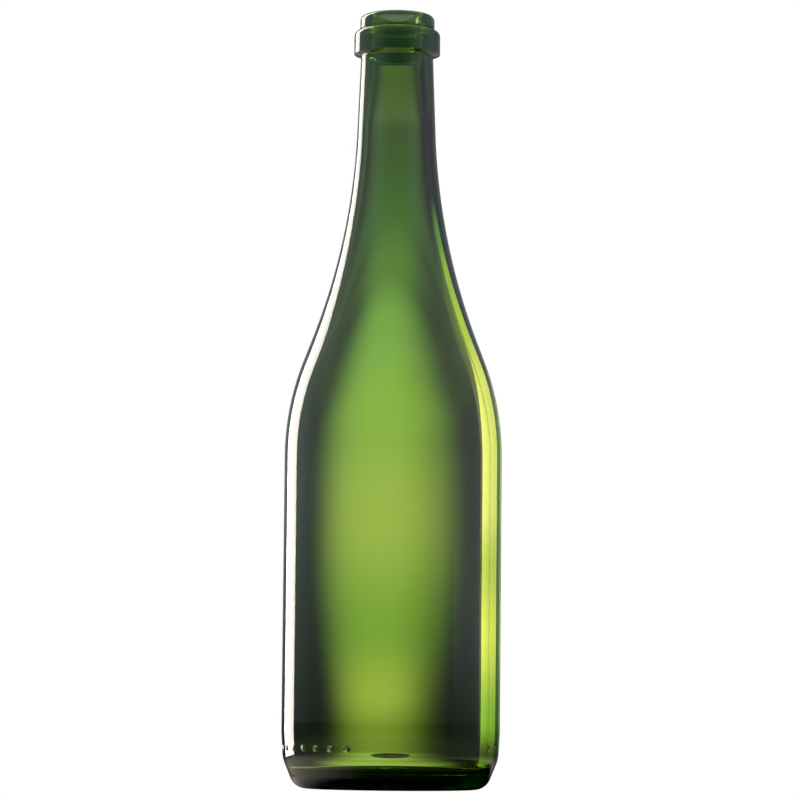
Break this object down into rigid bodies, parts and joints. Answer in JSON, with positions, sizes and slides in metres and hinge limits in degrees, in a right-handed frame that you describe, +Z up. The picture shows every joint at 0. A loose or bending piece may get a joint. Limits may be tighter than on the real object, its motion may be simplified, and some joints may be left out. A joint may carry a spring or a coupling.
{
  "type": "sparkling wine bottle",
  "caption": "Slender green glass bottle for sparkling wine: long drawn shoulder, shallow punt, and a mouth with a crown-cap ring above a wire-hood collar.",
  "frame": {"origin": "on the bottle's axis, in the plane of the bearing ring that it stands on", "axes": "+Z up the axis to the mouth, -Y towards the viewer of the picture, +X to the viewer's right"},
  "size_m": [0.0838, 0.0838, 0.3],
  "materials": {
    "green_glass": "clear green soda-lime glass, fire-polished, seen through"
  },
  "bodies": {
    "root": {"bottle": "green_glass"}
  },
  "joints": []
}
